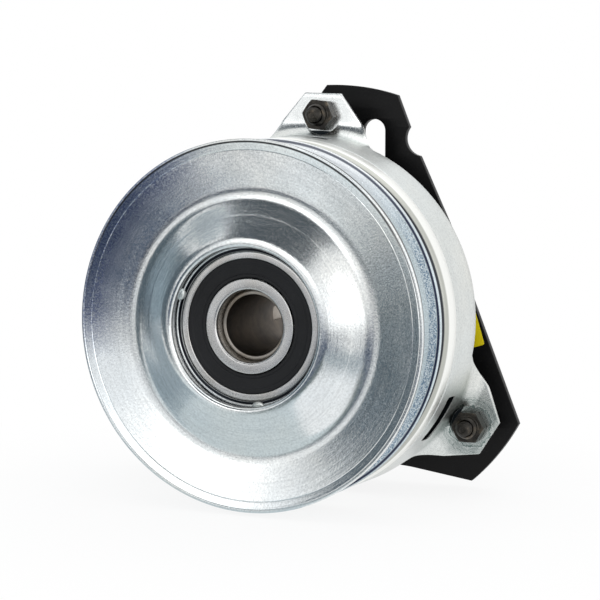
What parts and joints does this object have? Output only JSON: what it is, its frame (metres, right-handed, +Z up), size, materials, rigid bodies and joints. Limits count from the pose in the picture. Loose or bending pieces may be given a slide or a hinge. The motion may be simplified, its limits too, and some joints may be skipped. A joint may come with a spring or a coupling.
{
  "type": "electromagnetic clutch",
  "caption": "Electromagnetic clutch with brake: a V-belt pulley on a sealed bearing, a brake drum with sprung adjusters, a rotor, a coil field and an anti-rotation plate.",
  "frame": {"origin": "on the shaft axis, in the plane of the rotor's working face", "axes": "+Y along the shaft from the pulley toward the mounting plate, +Z up with one adjuster ear at the top, +X to the right seen from the pulley"},
  "size_m": [0.1875, 0.1006, 0.1793],
  "materials": {
    "zinc": "bright zinc plated sheet, lightly brushed round the axis",
    "drum_zinc": "satin zinc plated sheet",
    "black_coat": "satin black coating",
    "yellow_label": "plain yellow film",
    "soft_iron": "turned bare iron",
    "hub_steel": "bored bare steel",
    "race_steel": "ground bearing steel",
    "seal_rubber": "matt black rubber",
    "lining": "moulded friction material",
    "plastic": "black moulded plastic",
    "copper": "enamelled copper wire",
    "terminal_tin": "tinned brass",
    "phosphate": "dark brown phosphate",
    "spring_steel": "oiled spring steel",
    "ring_black": "black oxide",
    "cage_brass": "pressed cage",
    "rivet_steel": "plain steel"
  },
  "bodies": {
    "field": {"field_plate": "black_coat", "plate_label": "yellow_label", "field_shell": "soft_iron", "coil_bobbin": "plastic", "coil_winding": "copper", "coil_potting": "plastic", "plate_rivets": "black_coat", "rear_bearing_outer": "race_steel", "rear_bearing_seals": "seal_rubber", "rear_retainer": "ring_black", "adjuster_studs": "phosphate", "adjuster_springs": "spring_steel", "connector_housing": "plastic", "connector_terminals": "terminal_tin"},
    "rotor": {"rotor_hub": "hub_steel", "rotor_disc": "soft_iron", "friction_ring": "lining", "front_bearing_inner": "race_steel", "rear_bearing_inner": "race_steel", "hub_snap_ring": "ring_black"},
    "front_cage": {"front_cage": "cage_brass", "front_balls": "race_steel"},
    "rear_cage": {"rear_cage": "cage_brass", "rear_balls": "race_steel"},
    "pulley": {"pulley_front_sheet": "zinc", "pulley_rear_sheet": "zinc", "front_bearing_outer": "race_steel", "front_bearing_seals": "seal_rubber", "drive_plate": "zinc", "drive_rivets": "rivet_steel", "leaf_springs": "spring_steel", "leaf_rivets": "rivet_steel"},
    "armature": {"armature_disc": "soft_iron", "armature_rivets": "rivet_steel"},
    "brake": {"brake_drum": "drum_zinc", "brake_lining": "lining", "lining_rivets": "terminal_tin"},
    "nut_a": {"adjust_nut_a": "phosphate"},
    "nut_b": {"adjust_nut_b": "phosphate"},
    "nut_c": {"adjust_nut_c": "phosphate"}
  },
  "joints": [
    {"name": "rotor_spin", "type": "hinge", "parent": "field", "child": "rotor", "pos_m": [0, 0, 0], "axis": [0, 1, 0], "continuous": true},
    {"name": "pulley_spin", "type": "hinge", "parent": "rotor", "child": "pulley", "pos_m": [0, 0, 0], "axis": [0, 1, 0], "continuous": true},
    {"name": "front_cage_spin", "type": "hinge", "parent": "rotor", "child": "front_cage", "pos_m": [0, 0, 0], "axis": [0, 1, 0], "continuous": true},
    {"name": "rear_cage_spin", "type": "hinge", "parent": "field", "child": "rear_cage", "pos_m": [0, 0, 0], "axis": [0, 1, 0], "continuous": true},
    {"name": "armature_pull", "type": "slide", "parent": "pulley", "child": "armature", "axis": [0, 1, 0], "range_m": [0, 0.00045], "stiffness_N_per_m": 20000, "springref_m": -0.0005, "deforming": ["leaf_springs"]},
    {"name": "brake_adjust", "type": "slide", "parent": "field", "child": "brake", "axis": [0, 1, 0], "range_m": [-0.0006, 0], "deforming": ["adjuster_springs"]},
    {"name": "nut_a_turn", "type": "hinge", "parent": "brake", "child": "nut_a", "pos_m": [0.00365, 0.0139, 0.08712], "axis": [0, 1, 0], "range_deg": [-238.2, 0]},
    {"name": "nut_b_turn", "type": "hinge", "parent": "brake", "child": "nut_b", "pos_m": [-0.07728, 0.0139, -0.0404], "axis": [0, 1, 0], "range_deg": [-238.2, 0]},
    {"name": "nut_c_turn", "type": "hinge", "parent": "brake", "child": "nut_c", "pos_m": [0.07362, 0.0139, -0.04672], "axis": [0, 1, 0], "range_deg": [-238.2, 0]}
  ],
  "couplings": [
    {"joint": "front_cage_spin", "follows": "pulley_spin", "ratio": 0.6035},
    {"joint": "rear_cage_spin", "follows": "rotor_spin", "ratio": 0.3965},
    {"joint": "nut_a_turn", "follows": "brake_adjust", "rad_per_m": 6926.3},
    {"joint": "nut_b_turn", "follows": "brake_adjust", "rad_per_m": 6926.3},
    {"joint": "nut_c_turn", "follows": "brake_adjust", "rad_per_m": 6926.3}
  ]
}
